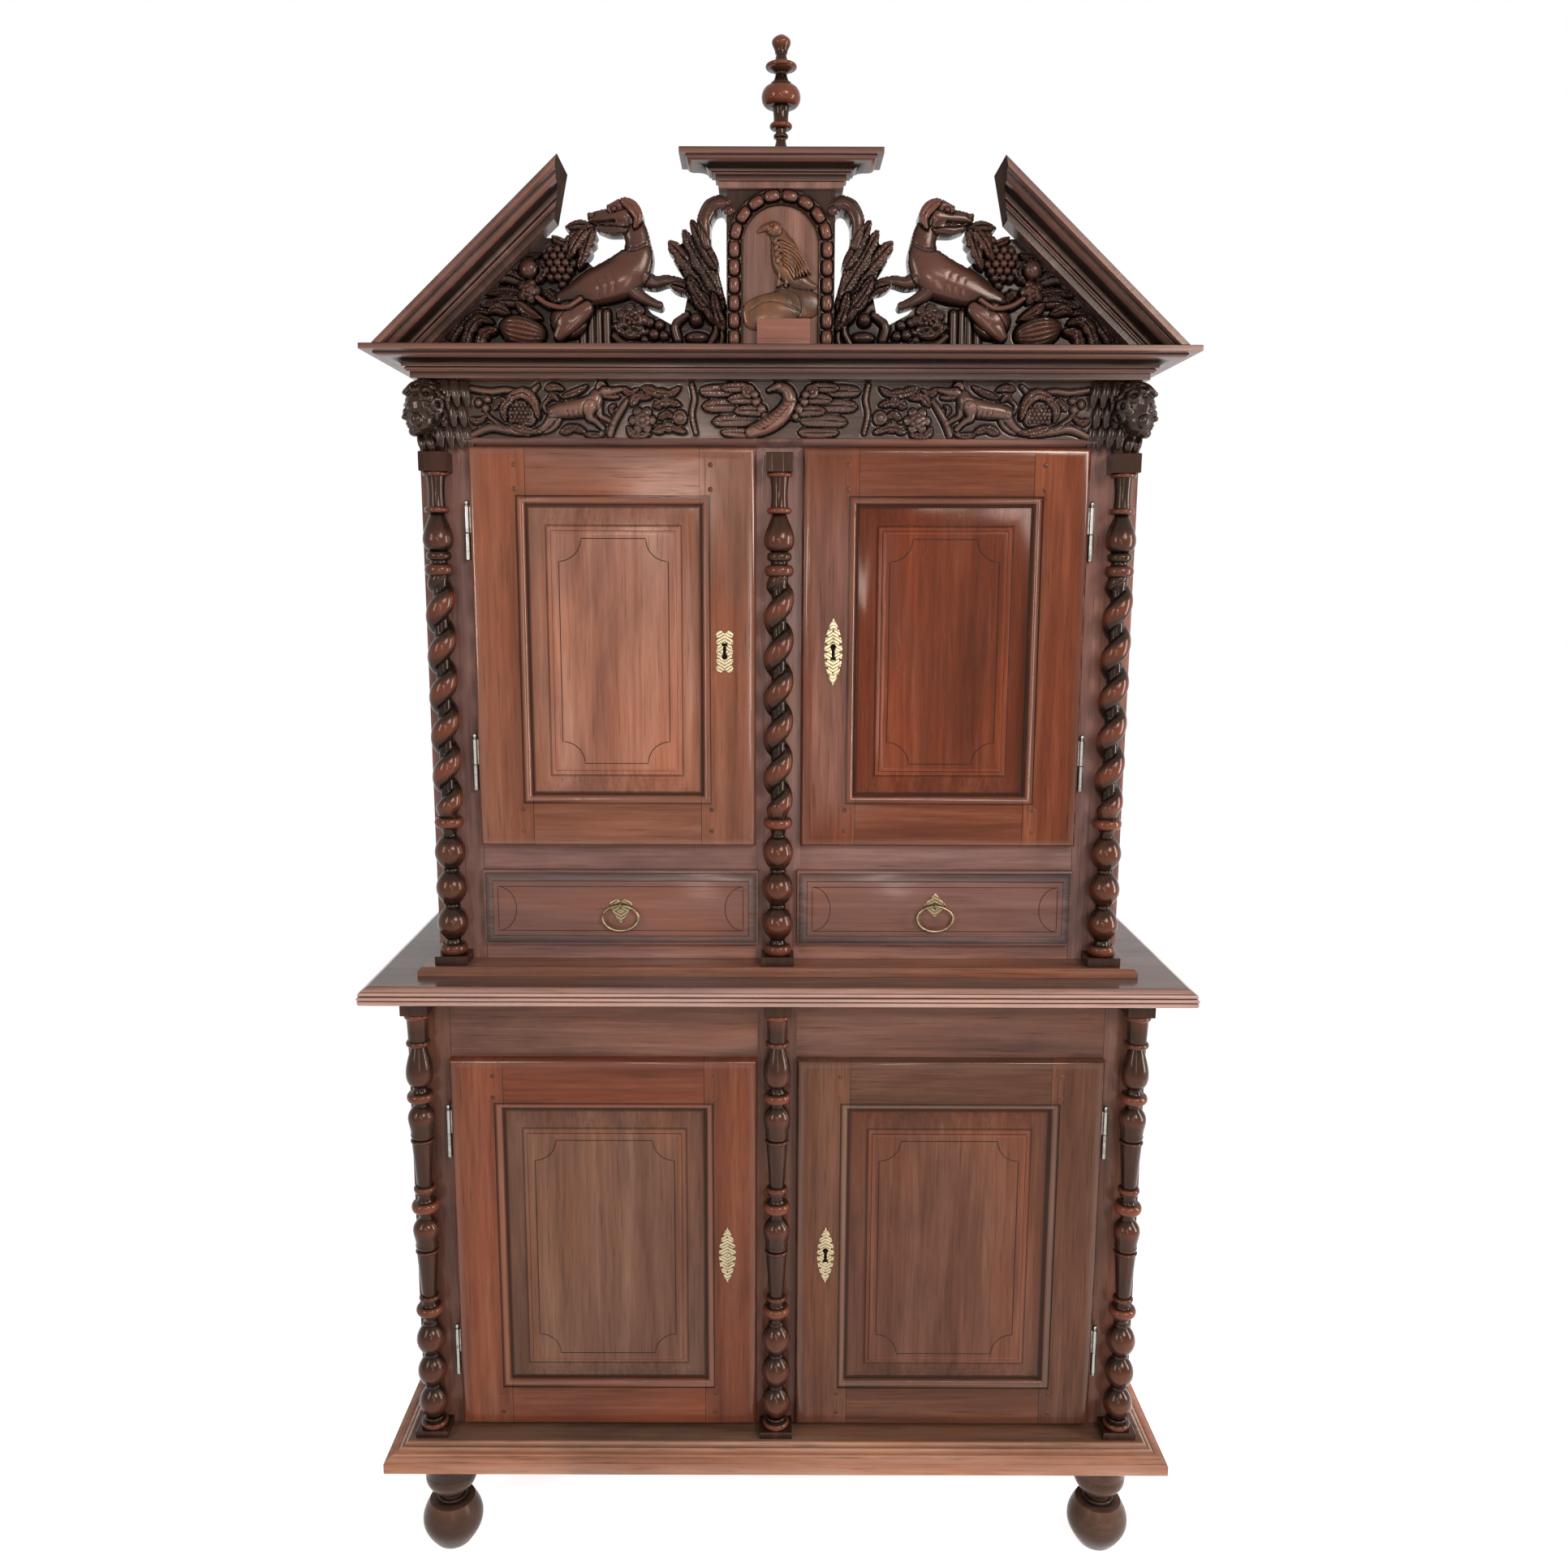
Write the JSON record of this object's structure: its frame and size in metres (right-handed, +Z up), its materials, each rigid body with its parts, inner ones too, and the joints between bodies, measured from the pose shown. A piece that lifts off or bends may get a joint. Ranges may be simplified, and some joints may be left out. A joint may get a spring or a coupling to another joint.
{
  "type": "two-part cabinet",
  "caption": "Carved walnut cabinet in two stages: lower cupboard on bun feet, set-back upper cupboard with drawers, turned columns, frieze and broken pediment.",
  "frame": {"origin": "on the floor under the middle of the overall box", "axes": "+X to the right seen from the front, -Y to the front, +Z up"},
  "size_m": [1.36, 0.62, 2.542],
  "materials": {
    "walnut": "waxed reddish walnut",
    "panel_walnut": "waxed walnut, lighter",
    "carved_walnut": "waxed dark carved walnut",
    "inner_oak": "plain planed oak",
    "brass": "worn polished",
    "steel": "old polished iron"
  },
  "bodies": {
    "carcass": {"base_board": "walnut", "front_left_foot": "walnut", "front_right_foot": "walnut", "lower_left_side": "walnut", "lower_right_side": "walnut", "lower_back": "inner_oak", "lower_shelf": "inner_oak", "lower_face_frame": "walnut", "lower_left_column": "walnut", "lower_center_column": "walnut", "lower_right_column": "walnut", "waist_board": "walnut", "upper_plinth": "walnut", "upper_left_side": "walnut", "upper_right_side": "walnut", "upper_back": "inner_oak", "drawer_deck": "inner_oak", "upper_shelf": "inner_oak", "upper_face_frame": "walnut", "upper_left_column": "walnut", "upper_center_column": "walnut", "upper_right_column": "walnut", "left_console": "carved_walnut", "right_console": "carved_walnut", "cornice": "walnut", "left_raking_cornice": "walnut", "right_raking_cornice": "walnut", "left_tympanum": "carved_walnut", "right_tympanum": "carved_walnut", "pedestal": "walnut", "finial": "walnut", "lower_left_bottom_hinge": "steel", "lower_left_top_hinge": "steel", "lower_right_bottom_hinge": "steel", "lower_right_top_hinge": "steel", "upper_left_bottom_hinge": "steel", "upper_left_top_hinge": "steel", "upper_right_bottom_hinge": "steel", "upper_right_top_hinge": "steel"},
    "lower_left_door": {"lower_left_door_frame": "walnut", "lower_left_door_panel": "panel_walnut", "lower_left_escutcheon": "brass"},
    "lower_right_door": {"lower_right_door_frame": "walnut", "lower_right_door_panel": "panel_walnut", "lower_right_escutcheon": "brass", "lower_right_lock": "steel"},
    "upper_left_door": {"upper_left_door_frame": "walnut", "upper_left_door_panel": "panel_walnut", "upper_left_escutcheon": "brass", "upper_left_lock": "steel"},
    "upper_right_door": {"upper_right_door_frame": "walnut", "upper_right_door_panel": "panel_walnut", "upper_right_escutcheon": "brass", "upper_right_lock": "steel"},
    "left_drawer": {"left_drawer": "walnut", "left_drawer_pull_plate": "brass"},
    "right_drawer": {"right_drawer": "walnut", "right_drawer_pull_plate": "brass"},
    "left_ring": {"left_drawer_ring": "brass"},
    "right_ring": {"right_drawer_ring": "brass"}
  },
  "joints": [
    {"name": "lower_left_door_hinge", "type": "hinge", "parent": "carcass", "child": "lower_left_door", "pos_m": [-0.559, -0.2353, 0.247], "axis": [0, 0, -1], "range_deg": [0, 95]},
    {"name": "lower_right_door_hinge", "type": "hinge", "parent": "carcass", "child": "lower_right_door", "pos_m": [0.559, -0.2353, 0.247], "axis": [0, 0, 1], "range_deg": [0, 95]},
    {"name": "upper_left_door_hinge", "type": "hinge", "parent": "carcass", "child": "upper_left_door", "pos_m": [-0.501, -0.1953, 1.284], "axis": [0, 0, -1], "range_deg": [0, 95]},
    {"name": "upper_right_door_hinge", "type": "hinge", "parent": "carcass", "child": "upper_right_door", "pos_m": [0.501, -0.1953, 1.284], "axis": [0, 0, 1], "range_deg": [0, 95]},
    {"name": "left_drawer_slide", "type": "slide", "parent": "carcass", "child": "left_drawer", "axis": [0, -1, 0], "range_m": [0, 0.3]},
    {"name": "right_drawer_slide", "type": "slide", "parent": "carcass", "child": "right_drawer", "axis": [0, -1, 0], "range_m": [0, 0.3]},
    {"name": "left_ring_hinge", "type": "hinge", "parent": "left_drawer", "child": "left_ring", "pos_m": [-0.2635, -0.2131, 1.1835], "axis": [-1, 0, 0], "range_deg": [0, 85]},
    {"name": "right_ring_hinge", "type": "hinge", "parent": "right_drawer", "child": "right_ring", "pos_m": [0.2635, -0.2131, 1.1835], "axis": [-1, 0, 0], "range_deg": [0, 85]}
  ]
}
